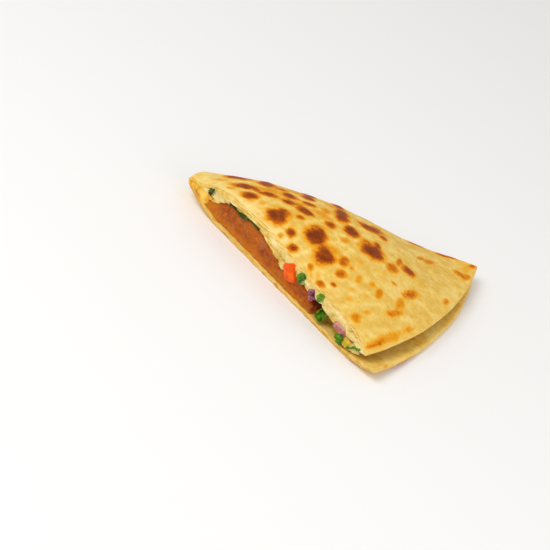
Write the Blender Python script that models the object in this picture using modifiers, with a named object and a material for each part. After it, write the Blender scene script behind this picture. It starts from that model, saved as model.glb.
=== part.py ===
"""One wedge of an egg melt quesadilla: a 45 degree wedge of a ten-inch flour tortilla folded over a
sausage patty, an egg layer, melted cheese and diced vegetables. The nose is the fold, the wide end the
open arc.

Sizes are in millimetres and degrees here, and every mesh is made in metres. Places are given in the
wedge's plan: x runs from the nose along the middle, y across it, and z up from the table. A place on
a cut face is (along the cut from the nose, how deep behind the cut, height).
"""

import math

import bmesh
import bpy
import numpy as np

MM = 0.001

# Driving dimensions of the folded tortilla
WEDGE_ANGLE = 45.0
LOWER_RADIUS = (124.6, 119.0, 122.6)  # of the half on the table: at the front cut, middle and back cut
UPPER_RADIUS = (119.4, 117.0, 121.6)  # of the half on top, drawn back by the filling under it
SHEET = 1.9  # thickness of the tortilla
NOSE_WIDTH = 9.0
NOSE_RADIUS = 2.2  # outside of the fold
NOSE_HEIGHT = (7.4, 6.3)  # middle of the fold at the front cut and at the back cut
NOSE_START = -69.0  # degrees round the fold where its round leaves the lower half
NOSE_END = 84.0  # and where it runs into the upper half
NOSE_CURL = 23.0  # how far from the nose the underside touches the table
UPPER_SETBACK = 0.5  # of the upper half's cuts behind the lower half's
GAP = 0.3  # between neighbours
LAYER_GAP = 0.5  # between two layers, whose curved faces are cut into flat ones
RIM_LIFT_START = 106.0
RIM_LIFT = (3.8, 1.8)  # how high the lower corners curl, front and back

# The upper face: its height along the front cut, along the back cut, and what the dome adds between
FRONT_CREST = (
    (2, 9.6), (7, 10.2), (13, 12.8), (26, 16.5), (39, 17.4),
    (52, 17.6), (80, 14.2), (92, 14.5), (112, 11.5), (119.4, 7.8),
)
BACK_CREST = ((2, 8.5), (15, 10.9), (30, 13.0), (44, 13.3), (58, 13.0), (77, 10.2), (97, 7.4), (121.6, 7.0))
DOME = ((2, 0.0), (12, 1.0), (25, 2.6), (40, 4.4), (60, 6.2), (78, 6.6), (95, 4.6), (108, 1.8), (120, -0.6))

# The top of the patty along the front cut, the middle and the back cut
PATTY_FRONT = (
    (12, 6.6), (18, 7.4), (25.5, 12.4), (32, 13.4), (47, 13.9), (57, 9.0), (67, 6.0), (77, 10.0), (87, 5.0),
)
PATTY_MIDDLE = ((12, 6.6), (22, 9.6), (40, 11.8), (62, 12.2), (80, 10.6), (90, 5.4))
PATTY_BACK = ((12, 6.2), (25, 8.4), (52, 8.2), (74, 6.2), (86, 4.4))

PATTY_SPAN = (12.5, 86.5)
EGG_SPAN = (16.0, 83.5)
CHEESE_SPAN = (9.5, 108.0)
CHEESE_THICKNESS = 2.9  # where it hangs from the upper half, past the egg
EGG_SHARE = 0.56  # of the room between the patty and the upper half
LAYER_SETBACK = 0.9  # of the patty, egg and cheese behind the cut

LEAF_THICKNESS = 0.5
POCKET_MARGIN = 0.35  # round the crumpled sprig; a dice has GAP

# How finely the tortilla is divided: the lower half, the nose and the upper half, and across
LOWER_STEPS, NOSE_STEPS, UPPER_STEPS = 26, 8, 30
SHEET_STEPS = LOWER_STEPS + NOSE_STEPS + UPPER_STEPS
ACROSS_STEPS = 18

SEED = 7

HALF_ANGLE = math.radians(WEDGE_ANGLE / 2)
SPREAD = math.tan(HALF_ANGLE)


def through(points, at):
    """A smooth curve's height at each place, through a few (place, height) points."""
    places, heights = np.array(points, float).T
    slopes = np.gradient(heights, places)
    at = np.clip(at, places[0], places[-1])
    i = np.clip(np.searchsorted(places, at) - 1, 0, len(places) - 2)
    step = places[i + 1] - places[i]
    f = (at - places[i]) / step
    near = heights[i] * (1 + 2 * f) + slopes[i] * step * f
    far = heights[i + 1] * (3 - 2 * f) + slopes[i + 1] * step * (f - 1)
    return near * (1 - f) ** 2 + far * f**2


def smooth(low, high, at):
    f = np.clip((at - low) / (high - low), 0, 1)
    return f * f * (3 - 2 * f)


def mix(a, b, f):
    return a + (b - a) * f


def half_width(x):
    return NOSE_WIDTH / 2 + x * SPREAD


def reach(across, radius):
    """x where the line at this share of the half width (-1 front cut, 1 back cut) meets the rim."""
    slope, start = across * SPREAD, across * NOSE_WIDTH / 2
    a, b, c = 1 + slope**2, 2 * slope * start, start**2 - radius**2
    return (-b + np.sqrt(b * b - 4 * a * c)) / (2 * a)


def rim(radius, across):
    """Radius of a rim: it's a little flatter than a circle, so it grows towards both cuts."""
    front, middle, back = radius
    side = np.abs(across)
    return middle + np.where(across < 0, (front - middle) * side**1.9, (back - middle) * side**1.5)


def spread_out(distance, across, radius):
    """x of a point by its distance from the nose, on a half with this rim radius."""
    edge = rim(radius, across)
    return distance / edge * reach(across, edge)


def distance_of(x, across, radius):
    edge = rim(radius, across)
    return x / reach(across, edge) * edge


def upper_setback(x):
    return UPPER_SETBACK * smooth(2, 20, x)


def upper_height(distance, across):
    """Height of the upper half's outer face, by distance from the nose and place across."""
    edges = mix(through(FRONT_CREST, distance), through(BACK_CREST, distance), (1 + across) / 2)
    return edges + through(DOME, distance) * (1 - across**2)


def nose_height(across):
    return mix(*NOSE_HEIGHT, (1 + across) / 2)


def lower_height(distance, across):
    """Height of the underside: it curls up to the nose, lies flat, and lifts at the corners."""
    start = NOSE_RADIUS * (1 - math.cos(math.radians(NOSE_START)))
    rise = nose_height(across) + NOSE_RADIUS * math.sin(math.radians(NOSE_START))
    curl = np.clip((1 - distance / NOSE_CURL) / (1 - start / NOSE_CURL), 0, None) ** 1.5
    to_rim = (distance - RIM_LIFT_START) / (rim(LOWER_RADIUS, across) - RIM_LIFT_START)
    corner = np.clip(to_rim, 0, 1) ** 1.6
    lift = RIM_LIFT[0] * ((1 - across) / 2) ** 5 + RIM_LIFT[1] * ((1 + across) / 2) ** 5
    return rise * curl + lift * corner


def under_upper(x, y):
    """Height just below the upper half at a plan point."""
    across = np.clip(y / (half_width(x) - upper_setback(x)), -1, 1)
    return upper_height(distance_of(x, across, UPPER_RADIUS), across) - 1.15 * SHEET - GAP


def over_lower(x, y):
    """Height just above the lower half at a plan point."""
    across = np.clip(y / half_width(x), -1, 1)
    return lower_height(distance_of(x, across, LOWER_RADIUS), across) + 1.1 * SHEET + GAP


def at_cut(side, along, deep, height):
    """A point by its place on a cut face; side is -1 for the front cut and 1 for the back cut."""
    c, s = math.cos(HALF_ANGLE), math.sin(HALF_ANGLE)
    return np.array([along * c + deep * s, side * (NOSE_WIDTH / 2 + along * s - deep * c), height])


def tortilla_point(u, v):
    """The folded sheet's outer face: u runs from the lower rim round the nose to the upper rim."""
    across = 2 * v - 1
    lower_share = LOWER_STEPS / SHEET_STEPS
    upper_share = (LOWER_STEPS + NOSE_STEPS) / SHEET_STEPS
    on_lower, on_upper = u < lower_share, u > upper_share

    near = NOSE_RADIUS * (1 - math.cos(math.radians(NOSE_START)))
    lower = mix(rim(LOWER_RADIUS, across), near, np.clip(u / lower_share, 0, 1))
    x_lower = spread_out(lower, across, LOWER_RADIUS)

    round_the_nose = np.clip((u - lower_share) / (upper_share - lower_share), 0, 1)
    angle = np.radians(mix(NOSE_START, NOSE_END, round_the_nose))
    x_nose = NOSE_RADIUS * (1 - np.cos(angle))
    z_nose = nose_height(across) + NOSE_RADIUS * np.sin(angle)

    near = NOSE_RADIUS * (1 - math.cos(math.radians(NOSE_END)))
    upper = mix(near, rim(UPPER_RADIUS, across), np.clip((u - upper_share) / (1 - upper_share), 0, 1))
    x_upper = spread_out(upper, across, UPPER_RADIUS)

    x = np.select([on_lower, on_upper], [x_lower, x_upper], x_nose)
    z = np.select([on_lower, on_upper], [lower_height(lower, across), upper_height(upper, across)], z_nose)
    width = half_width(x) - np.where(on_upper, upper_setback(x), 0)
    return np.stack([x, across * width, z], axis=-1)


def patty_top(x, y):
    across = np.clip(y / half_width(x), -1, 1)
    distance = distance_of(x, across, LOWER_RADIUS)
    front, middle, back = (through(p, distance) for p in (PATTY_FRONT, PATTY_MIDDLE, PATTY_BACK))
    raw = np.where(across < 0, mix(middle, front, across**2), mix(middle, back, across**2))
    inside = (half_width(x) - np.abs(y)) * math.cos(HALF_ANGLE)
    room = mix(1.1, 3.6, smooth(1.5, 6.0, inside))
    return np.minimum(raw, under_upper(x, y) - room)


def layer_plan(u, v, span, setback):
    """Plan points of a layer that fills the wedge from cut to cut, between two arcs round the nose."""
    across = 2 * v - 1
    distance = mix(*span, u)
    x = spread_out(distance, across, LOWER_RADIUS)
    width = half_width(x) - setback(distance) / math.cos(HALF_ANGLE)
    return x, across * width


def behind_the_cut(distance):
    """The egg and cheese stay further back where the patty is nearly as high as the upper half."""
    return LAYER_SETBACK + 4.6 * smooth(21, 26, distance) * (1 - smooth(47, 53, distance))


def rounded_end(u, amount):
    """1 along a layer and falling to 0 at its two ends, so that they're rounded."""
    return np.sqrt(1 - (1 - smooth(0, amount, np.minimum(u, 1 - u))) ** 2)


def patty_point(u, v, w):
    x, y = layer_plan(u, v, PATTY_SPAN, lambda distance: LAYER_SETBACK)
    low = over_lower(x, y)
    high = np.maximum(patty_top(x, y), low + 1.2)
    return np.stack([x, y, mix(low, mix(low + 1.2, high, rounded_end(u, 0.08)), w)], axis=-1)


def egg_bounds(x, y):
    low = patty_top(x, y) + LAYER_GAP
    return low, mix(low, under_upper(x, y), EGG_SHARE)


def egg_point(u, v, w):
    x, y = layer_plan(u, v, EGG_SPAN, behind_the_cut)
    low, high = egg_bounds(x, y)
    return np.stack([x, y, mix(low, mix(low + 0.5, high, rounded_end(u, 0.06)), w)], axis=-1)


def cheese_point(u, v, w):
    """Over the egg the cheese fills the room that is left; past its ends it hangs from the upper half."""
    x, y = layer_plan(u, v, CHEESE_SPAN, behind_the_cut)
    distance = mix(*CHEESE_SPAN, u)
    high = under_upper(x, y)
    over_egg = egg_bounds(x, y)[1] + LAYER_GAP
    before_egg = 1 - smooth(11, EGG_SPAN[0] + 1.5, distance)
    after_egg = smooth(EGG_SPAN[1] - 1, EGG_SPAN[1] + 5, distance)
    past = np.maximum(before_egg, after_egg)
    hanging = np.maximum(high - CHEESE_THICKNESS, over_lower(x, y))
    low = np.minimum(mix(over_egg, np.maximum(hanging, over_egg), past), high - 0.5)
    return np.stack([x, y, mix(mix(high - 0.5, low, rounded_end(u, 0.06)), high, w)], axis=-1)


def new_object(name, bm, material, collection):
    mesh = bpy.data.meshes.new(name)
    bm.normal_update()
    bmesh.ops.recalc_face_normals(bm, faces=bm.faces)
    bm.to_mesh(mesh)
    bm.free()
    mesh.materials.append(material)
    mesh.shade_smooth()
    mesh.set_sharp_from_angle(angle=math.radians(40))
    obj = bpy.data.objects.new(name, mesh)
    collection.objects.link(obj)
    obj.parent = wedge
    return obj


def move_vertices(bm, point):
    """Puts each vertex of a unit shape, whose coordinates run from 0 to 1, where point() says."""
    where = point(*np.array([v.co for v in bm.verts]).T)
    for vertex, place in zip(bm.verts, where * MM):
        vertex.co = place


def unit_box(counts):
    """A box from 0 to 1 with its sides split into this many faces along x, y and z."""
    bm = bmesh.new()
    bmesh.ops.create_cube(bm, size=1)
    bmesh.ops.translate(bm, verts=bm.verts, vec=(0.5, 0.5, 0.5))
    for axis, count in enumerate(counts):
        edges = [e for e in bm.edges if abs(e.verts[0].co[axis] - e.verts[1].co[axis]) > 0.5]
        bmesh.ops.subdivide_edges(bm, edges=edges, cuts=count - 1, use_grid_fill=True)
    return bm


def unit_grid(along, across):
    bm = bmesh.new()
    bmesh.ops.create_grid(bm, x_segments=along, y_segments=across, size=0.5)
    bmesh.ops.translate(bm, verts=bm.verts, vec=(0.5, 0.5, 0))
    return bm


def solidify(obj, thickness, offset, even):
    modifier = obj.modifiers.new("Thickness", "SOLIDIFY")
    modifier.thickness = thickness * MM
    modifier.offset = offset
    modifier.use_even_offset = even


def bevel(obj, width, segments):
    modifier = obj.modifiers.new("Edges", "BEVEL")
    modifier.width = width * MM
    modifier.segments = segments


def material(name, colour, roughness):
    made = bpy.data.materials.new(name)
    made.use_nodes = True
    shader = made.node_tree.nodes["Principled BSDF"]
    shader.inputs["Base Color"].default_value = (*colour, 1)
    shader.inputs["Roughness"].default_value = roughness
    shader.inputs["Metallic"].default_value = 0
    return made


def make_tortilla():
    bm = unit_grid(SHEET_STEPS, ACROSS_STEPS)
    move_vertices(bm, lambda u, v, w: tortilla_point(u, v))
    mesh = bpy.data.meshes.new("tortilla")
    bm.to_mesh(mesh)
    bm.free()
    mesh.materials.append(TOASTED)
    mesh.shade_smooth()
    obj = bpy.data.objects.new("tortilla", mesh)
    food.objects.link(obj)
    obj.parent = wedge
    solidify(obj, SHEET, -1, True)


def make_layer(name, point, counts, finish):
    bm = unit_box(counts)
    move_vertices(bm, point)
    return new_object(name, bm, finish, food)


def turned(degrees, axis):
    """Rotation about one axis of (along, deep, height)."""
    c, s = math.cos(math.radians(degrees)), math.sin(math.radians(degrees))
    i, j = (axis + 1) % 3, (axis + 2) % 3
    matrix = np.eye(3)
    matrix[i, i], matrix[i, j], matrix[j, i], matrix[j, j] = c, -s, s, c
    return matrix


def dice_mesh(side, place, size, turn, grow, rng_seed):
    """A hand-cut dice: a cube with its corners moved a little, turned, at a place on a cut face."""
    rng = np.random.default_rng(rng_seed)
    bm = bmesh.new()
    bmesh.ops.create_cube(bm, size=1)
    uneven = 1 + rng.uniform(-0.14, 0.14, (8, 3))
    corners = np.array([v.co for v in bm.verts]) * uneven * (np.array(size) + 2 * grow)
    lean, roll, yaw = (turned(degrees, axis) for axis, degrees in enumerate(turn))
    corners = corners @ (lean @ roll @ yaw).T + np.array(place)
    for vertex, corner in zip(bm.verts, corners):
        vertex.co = at_cut(side, *corner) * MM
    return bm


def make_dice(name, side, place, size, turn, finish):
    """A diced piece and the larger copy of it that leaves its pocket in the layers."""
    seed = SEED + sum(map(ord, name))
    piece = new_object(name, dice_mesh(side, place, size, turn, 0, seed), finish, food)
    bevel(piece, 0.22 * min(size), 2)
    cutter = new_object(name + "_pocket", dice_mesh(side, place, size, turn, GAP, seed), finish, cutters)
    cut_pocket(cutter)


def make_sprig(name, side, place, size, finish):
    """A crumpled sprig of herb: a ball whose radius swells into three lobes."""
    for grow, where in ((0, food), (POCKET_MARGIN, cutters)):
        bm = bmesh.new()
        bmesh.ops.create_icosphere(bm, subdivisions=3, radius=1)
        for vertex in bm.verts:
            x, y, z = vertex.co
            angle = math.atan2(z, x)
            lobes = 0.86 + 0.16 * math.cos(3 * angle + 0.6) * (1 - y * y) + 0.05 * math.sin(7 * x + 5 * z)
            spot = np.array([x, y, z]) * lobes * (np.array(size) / 2 + grow) + np.array(place)
            vertex.co = at_cut(side, *spot) * MM
        if where is food:
            new_object(name, bm, finish, food)
        else:
            cut_pocket(new_object(name + "_pocket", bm, finish, cutters))


def make_leaf(name, side, tip, stem, width, face, finish, steps=(9, 4)):
    """A thin wavy leaf from stem to tip. face is which way its flat side looks, in cut coordinates."""
    tip, stem, face = (np.array(p, float) for p in (tip, stem, face))
    length = tip - stem
    sideways = np.cross(length, face)
    sideways /= np.linalg.norm(sideways)
    upright = np.cross(sideways, length)
    upright /= np.linalg.norm(upright)
    bm = unit_grid(*steps)
    bmesh.ops.triangulate(bm, faces=bm.faces)
    for vertex in bm.verts:
        u, v = vertex.co.x, vertex.co.y - 0.5
        outline = 0.25 + 0.75 * math.sin(math.pi * min(u, 0.85) ** 0.8)
        breadth = width * outline * (1 + 0.12 * math.cos(16 * u))
        wave = 0.09 * width * (math.sin(9 * u + 4 * v) + 2.2 * v * v)
        spot = stem + length * u + sideways * breadth * v + upright * wave
        vertex.co = at_cut(side, *spot) * MM
    obj = new_object(name, bm, finish, food)
    solidify(obj, LEAF_THICKNESS, 0, False)
    return obj


layers = []


def cut_pocket(cutter):
    cutter.hide_render = True
    cutter.display_type = "WIRE"
    for layer in layers:
        modifier = layer.modifiers.new("Pocket", "BOOLEAN")
        modifier.operation = "DIFFERENCE"
        modifier.object = cutter
        modifier.solver = "EXACT"


for leftover in list(bpy.data.objects):
    bpy.data.objects.remove(leftover)

food = bpy.data.collections.new("quesadilla wedge")
cutters = bpy.data.collections.new("cutters")
bpy.context.scene.collection.children.link(food)
bpy.context.scene.collection.children.link(cutters)
wedge = bpy.data.objects.new("wedge", None)
wedge.location.x = -LOWER_RADIUS[1] / 2 * MM  # the middle of the wedge's length comes to the origin
food.objects.link(wedge)

TOASTED = material("toasted tortilla", (0.78, 0.50, 0.16), 0.55)
SAUSAGE = material("sausage", (0.45, 0.14, 0.03), 0.45)
EGG = material("egg", (0.85, 0.62, 0.16), 0.4)
CHEESE = material("melted cheese", (0.86, 0.67, 0.33), 0.3)
TOMATO = material("tomato", (0.85, 0.10, 0.01), 0.25)
PEPPER = material("green pepper", (0.08, 0.22, 0.01), 0.3)
HERB = material("coriander", (0.04, 0.14, 0.01), 0.45)
PURPLE_ONION = material("purple onion", (0.20, 0.04, 0.06), 0.3)
PINK_ONION = material("pink onion", (0.55, 0.20, 0.17), 0.3)
PALE_ONION = material("pale onion", (0.80, 0.62, 0.30), 0.3)
YELLOW = material("yellow pepper", (0.75, 0.50, 0.04), 0.3)

FRONT, BACK = -1, 1
make_tortilla()
layers.append(make_layer("sausage_patty", patty_point, (22, 12, 1), SAUSAGE))
layers.append(make_layer("egg_layer", egg_point, (20, 12, 1), EGG))
layers.append(make_layer("melted_cheese", cheese_point, (26, 12, 1), CHEESE))

# Diced pieces: name, cut, (along, deep, height), (along, deep, high), turns about those three, finish
DICE = (
    ("tomato_front", FRONT, (67.7, 1.3, 9.1), (5.0, 3.4, 7.4), (12, -6, 0), TOMATO),
    ("pepper_front_1", FRONT, (74.7, 0.4, 10.7), (2.6, 2.6, 3.6), (26, -12, 8), PEPPER),
    ("onion_front_purple", FRONT, (81.7, 0.8, 9.2), (2.4, 2.4, 3.8), (8, 12, -8), PURPLE_ONION),
    ("pepper_front_2", FRONT, (86.6, 0.5, 10.8), (2.8, 2.3, 2.2), (20, 0, 12), PEPPER),
    ("onion_front_pink", FRONT, (101.2, 1.0, 7.5), (5.2, 2.6, 3.2), (6, 30, 0), PINK_ONION),
    ("yellow_pepper_front", FRONT, (105.6, 1.7, 4.4), (3.2, 2.4, 2.5), (0, 14, 8), YELLOW),
    ("onion_front_pale", FRONT, (10.8, 1.2, 6.9), (2.1, 2.0, 2.3), (0, -15, 0), PALE_ONION),
    ("tomato_back", BACK, (49.0, 1.4, 8.6), (5.0, 3.4, 3.4), (8, 6, 8), TOMATO),
    ("pepper_back_1", BACK, (36.0, 0.9, 8.9), (3.6, 2.8, 3.0), (14, -12, -10), PEPPER),
    ("onion_back_purple", BACK, (61.0, 0.9, 7.9), (3.8, 2.8, 2.9), (6, -10, 6), PURPLE_ONION),
    ("pepper_back_2", BACK, (73.0, 0.9, 6.4), (4.0, 2.8, 2.6), (12, 8, 12), PEPPER),
    ("onion_back_pink", BACK, (26.0, 0.9, 8.7), (4.2, 2.6, 2.4), (4, -4, 4), PINK_ONION),
)
for dice in DICE:
    make_dice(*dice)
make_sprig("coriander_front_sprig", FRONT, (89.4, 1.6, 5.0), (6.4, 3.8, 5.0), HERB)

make_leaf("coriander_front_tip", FRONT, (16.8, -0.6, 13.4), (13.4, 0.2, 10.2), 2.0, (0, -1, 0.2), HERB)
make_leaf("coriander_front_strip", FRONT, (25, 0.2, 13.4), (46, 0.2, 15.0), 1.3, (0, -0.8, 1), HERB, (16, 3))
make_leaf("coriander_front_leaf", FRONT, (103.0, -0.6, 2.9), (100.8, -1.0, 6.2), 3.2, (0, -1, 0.1), HERB)
make_leaf("coriander_front_sliver", FRONT, (113.6, 0.1, 7.6), (107.4, -0.3, 4.2), 1.3, (0, -0.6, 1), HERB)
make_leaf("coriander_back_leaf", BACK, (95, 1.0, 3.2), (89, 1.2, 3.5), 2.4, (0, -0.5, 1), HERB)
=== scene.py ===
import math

import bpy
import numpy as np
from mathutils import Matrix


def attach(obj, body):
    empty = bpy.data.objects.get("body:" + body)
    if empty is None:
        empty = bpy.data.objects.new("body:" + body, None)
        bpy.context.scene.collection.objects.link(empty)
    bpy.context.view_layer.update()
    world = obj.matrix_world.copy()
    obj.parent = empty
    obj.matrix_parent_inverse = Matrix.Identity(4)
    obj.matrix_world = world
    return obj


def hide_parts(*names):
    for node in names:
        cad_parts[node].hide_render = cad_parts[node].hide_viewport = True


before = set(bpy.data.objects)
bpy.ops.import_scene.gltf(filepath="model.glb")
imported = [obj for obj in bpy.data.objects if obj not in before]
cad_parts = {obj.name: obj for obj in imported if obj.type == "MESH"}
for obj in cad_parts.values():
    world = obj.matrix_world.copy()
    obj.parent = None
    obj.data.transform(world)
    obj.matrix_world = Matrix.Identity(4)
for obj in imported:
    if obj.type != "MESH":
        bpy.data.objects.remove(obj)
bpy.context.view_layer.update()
print("frame loaded:", len(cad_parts), "nodes")

mm = 0.001

# The wedge in millimetres, with its nose at x = 0; every mesh is moved by this much to sit in the frame
wedge = {
    "noseToOrigin": 59.5,
    "halfAngle": math.radians(22.5),
    "noseWidth": 9.0,
    "seed": 7,
}
spread = math.tan(wedge["halfAngle"])
cosHalf, sinHalf = math.cos(wedge["halfAngle"]), math.sin(wedge["halfAngle"])
front, back = -1, 1


# Curves and noise

def through(points, at):
    # smooth curve through a few (place, height) points: cubics whose slopes are those of the neighbours
    places, heights = np.array(points, float).T
    slopes = np.gradient(heights, places)
    at = np.clip(at, places[0], places[-1])
    i = np.clip(np.searchsorted(places, at) - 1, 0, len(places) - 2)
    step = places[i + 1] - places[i]
    f = (at - places[i]) / step
    near = heights[i] * (1 + 2 * f) + slopes[i] * step * f
    far = heights[i + 1] * (3 - 2 * f) + slopes[i + 1] * step * (f - 1)
    return near * (1 - f) ** 2 + far * f**2


def smooth(low, high, at):
    f = np.clip((at - low) / (high - low), 0, 1)
    return f * f * (3 - 2 * f)


def mix(a, b, f):
    return a + (b - a) * f


def halfRound(w):
    # 0 at both faces of a layer and 1 half way between them, as a half circle
    return np.sqrt(np.clip(1 - (2 * w - 1) ** 2, 0, 1))


def unit(vectors):
    return vectors / np.linalg.norm(vectors, axis=-1, keepdims=True)


boxCorners = [np.array([corner & 1, corner >> 1 & 1, corner >> 2 & 1]) for corner in range(8)]


def cornerShare(corner, inside):
    # how much a corner of a box counts at places inside it, each direction from 0 to 1
    return np.prod(np.where(corner == 1, inside, 1 - inside), axis=-1)


def grain(points, size, seed=0):
    # smooth noise from -1 to 1: random values at the corners of a lattice of this size, blended between;
    # a corner's value comes from its whole-number place, mixed with large primes within 32 bits
    awayFromZero, range32, range16 = 500, 2**32, 2**16
    cells = points / size + awayFromZero
    base = np.floor(cells).astype(np.int64)
    part = cells - base
    part = part * part * (3 - 2 * part)
    total = np.zeros(points.shape[:-1])
    for corner in boxCorners:
        key = (base + corner) @ np.array([73856093, 19349663, 83492791]) + seed * 7919 + wedge["seed"]
        key = (key ^ (key >> 11)) * 2654435761 % range32
        key = (key ^ (key >> 15)) * 2246822519 % range32
        value = (key ^ (key >> 13)) % range16 * 2 / (range16 - 1) - 1
        total += value * cornerShare(corner, part)
    return total


# Meshes

def boxSurface(counts):
    # the skin of a box from 0 to 1 divided by these counts: its points, its quads and the side of each quad
    # (sides 0 and 1 are low and high in the first direction, 2 and 3 in the second, 4 and 5 in the third)
    counts = np.array(counts)
    strides = np.array([1, counts[0] + 1, (counts[0] + 1) * (counts[1] + 1)])
    quads, sides = [], []
    for axis in range(3):
        a, b = (axis + 1) % 3, (axis + 2) % 3
        i, j = np.meshgrid(np.arange(counts[a]), np.arange(counts[b]), indexing="ij")
        corner = (i * strides[a] + j * strides[b]).ravel()
        around = np.array([0, strides[a], strides[a] + strides[b], strides[b]])
        for high in (0, 1):
            quad = corner[:, None] + around + high * counts[axis] * strides[axis]
            quads.append(quad if high else quad[:, ::-1])
            sides.append(np.full(len(quad), 2 * axis + high))
    quads, sides = np.concatenate(quads), np.concatenate(sides)
    used, index = np.unique(quads, return_inverse=True)
    grid = np.stack([used // strides[axis] % (counts[axis] + 1) for axis in range(3)], axis=-1)
    return grid / counts, index.reshape(quads.shape), sides


def inFrame(points):
    # from the wedge's millimetres to the frame's metres
    return (points - np.array([wedge["noseToOrigin"], 0, 0])) * mm


def newObject(name, data):
    thing = bpy.data.objects.new(name, data)
    bpy.context.scene.collection.objects.link(thing)
    return thing


# edges that bend by more than this are drawn sharp
sharpAngle = math.radians(50)


def makePiece(name, points, quads, paint, replaced, values=None, faceValues=None):
    # one finished piece at the origin; values are kept per point and faceValues per face, for its material
    mesh = bpy.data.meshes.new(name)
    mesh.vertices.add(len(points))
    mesh.vertices.foreach_set("co", inFrame(points).astype(np.float32).ravel())
    mesh.loops.add(quads.size)
    mesh.loops.foreach_set("vertex_index", quads.astype(np.int32).ravel())
    mesh.polygons.add(len(quads))
    mesh.polygons.foreach_set("loop_start", np.arange(len(quads), dtype=np.int32) * quads.shape[1])
    for domain, table in (("POINT", values), ("FACE", faceValues)):
        for label, value in (table or {}).items():
            mesh.attributes.new(label, "FLOAT", domain).data.foreach_set("value", value.astype(np.float32))
    mesh.update(calc_edges=True)
    mesh.validate()
    mesh.materials.append(paint)
    mesh.shade_smooth()
    mesh.set_sharp_from_angle(angle=sharpAngle)
    piece = newObject(name, mesh)
    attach(piece, "root")
    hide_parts(replaced)


def joinParts(parts):
    # several (points, quads, values) joined into one
    points, quads, values = zip(*parts)
    starts = np.cumsum([0, *map(len, points[:-1])])
    quads = [part + start for part, start in zip(quads, starts)]
    return np.concatenate(points), np.concatenate(quads), np.concatenate(values)


# The wedge's plan

def halfWidth(x):
    return wedge["noseWidth"] / 2 + x * spread


def behindCut(x, y):
    # how deep a point lies behind the cut that is nearer to it
    return (halfWidth(x) - np.abs(y)) * cosHalf


def reach(across, radius):
    # x where the line at this share of the half width meets the rim, from the circle's equation
    slope, start = across * spread, across * wedge["noseWidth"] / 2
    a, b, c = 1 + slope**2, 2 * slope * start, start**2 - radius**2
    return (-b + np.sqrt(b * b - 4 * a * c)) / (2 * a)


def rim(radius, across):
    # radius of a rim that is a little flatter than a circle, so it grows towards both cuts
    atFront, middle, atBack = radius
    side = np.abs(across)
    return middle + np.where(across < 0, (atFront - middle) * side**1.9, (atBack - middle) * side**1.5)


def spreadOut(distance, across, radius):
    edge = rim(radius, across)
    return distance / edge * reach(across, edge)


def distanceOf(x, across, radius):
    edge = rim(radius, across)
    return x / reach(across, edge) * edge


def ontoCut(side, places, quads):
    # points given by how far along a cut, how deep behind it and how high they are, and their faces,
    # turned round at the back cut, because such places are left-handed there
    along, deep, height = places.T
    x = along * cosHalf + deep * sinHalf
    y = side * (wedge["noseWidth"] / 2 + along * sinHalf - deep * cosHalf)
    return np.stack([x, y, height], axis=-1), quads[:, ::-1] if side == back else quads


# Camera: where the photograph was taken from, turned about its own axis as that picture is

view = {
    "azimuth": math.radians(17.83),
    "elevation": math.radians(30.26),
    "roll": math.radians(20.76),
    "distance": 700.0,
    "focalPixels": 1776.3,
    "aim": np.array([65.0, 0.0, 8.0]),
    "aimPixel": (329.1, 251.9),
    "picture": 550,
}


def cameraAxes():
    # right, up and backward axes of the camera, and its place
    sinA, cosA = math.sin(view["azimuth"]), math.cos(view["azimuth"])
    sinE, cosE = math.sin(view["elevation"]), math.cos(view["elevation"])
    backward = np.array([sinA * cosE, -cosA * cosE, sinE])
    level = np.array([cosA, sinA, 0.0])
    upright = np.cross(backward, level)
    right = math.cos(view["roll"]) * level + math.sin(view["roll"]) * upright
    up = math.cos(view["roll"]) * upright - math.sin(view["roll"]) * level
    return right, up, backward, view["aim"] + backward * view["distance"]


def toPicture(points):
    # pixel of the photograph that shows each point
    right, up, backward, place = cameraAxes()
    away = points - place
    depth = -away @ backward
    across = away @ right / depth * view["focalPixels"] + view["aimPixel"][0]
    down = -(away @ up) / depth * view["focalPixels"] + view["aimPixel"][1]
    return across, down


def stand(thing, axes, place):
    # turns a camera or light to its right, up and backward axes and puts it in its place, in metres
    matrix = np.eye(4)
    matrix[:3, :3] = np.stack(axes, axis=1)
    matrix[:3, 3] = place
    thing.matrix_world = Matrix(matrix.tolist())


def makeCamera():
    # the camera is turned until the picture's middle is on its axis, so it needs no shift
    right, up, backward, place = cameraAxes()
    beside, below = (view["picture"] / 2 - np.array(view["aimPixel"])) / view["focalPixels"]
    ray = -backward + beside * right - below * up
    turnedBack = -unit(ray)
    turnedRight = unit(right - (right @ turnedBack) * turnedBack)
    turnedUp = np.cross(turnedBack, turnedRight)
    lens = bpy.data.cameras.new("camera")
    lens.sensor_width = 36
    lens.lens = view["focalPixels"] / view["picture"] * lens.sensor_width
    lens.clip_start = 0.01
    camera = newObject("camera", lens)
    stand(camera, (turnedRight, turnedUp, turnedBack), inFrame(place))
    bpy.context.scene.camera = camera


makeCamera()
print("camera placed")


# Materials

def tint(red, green, blue):
    # a screen colour, 0 to 255, as the linear colour that a shader takes
    return tuple((((c / 255) + 0.055) / 1.055) ** 2.4 for c in (red, green, blue)) + (1.0,)


class Wire:
    # a shader socket; sums, differences and products of wires and numbers add Math nodes
    def __init__(self, paint, socket):
        self.paint = paint
        self.socket = socket

    def maths(self, operation, first, second):
        return self.paint.add("ShaderNodeMath", {"operation": operation}, {0: first, 1: second})

    def __add__(self, other):
        return self.maths("ADD", self, other)

    def __sub__(self, other):
        return self.maths("SUBTRACT", self, other)

    def __rsub__(self, other):
        return self.maths("SUBTRACT", other, self)

    def __mul__(self, other):
        return self.maths("MULTIPLY", self, other)

    __radd__ = __add__
    __rmul__ = __mul__


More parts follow.
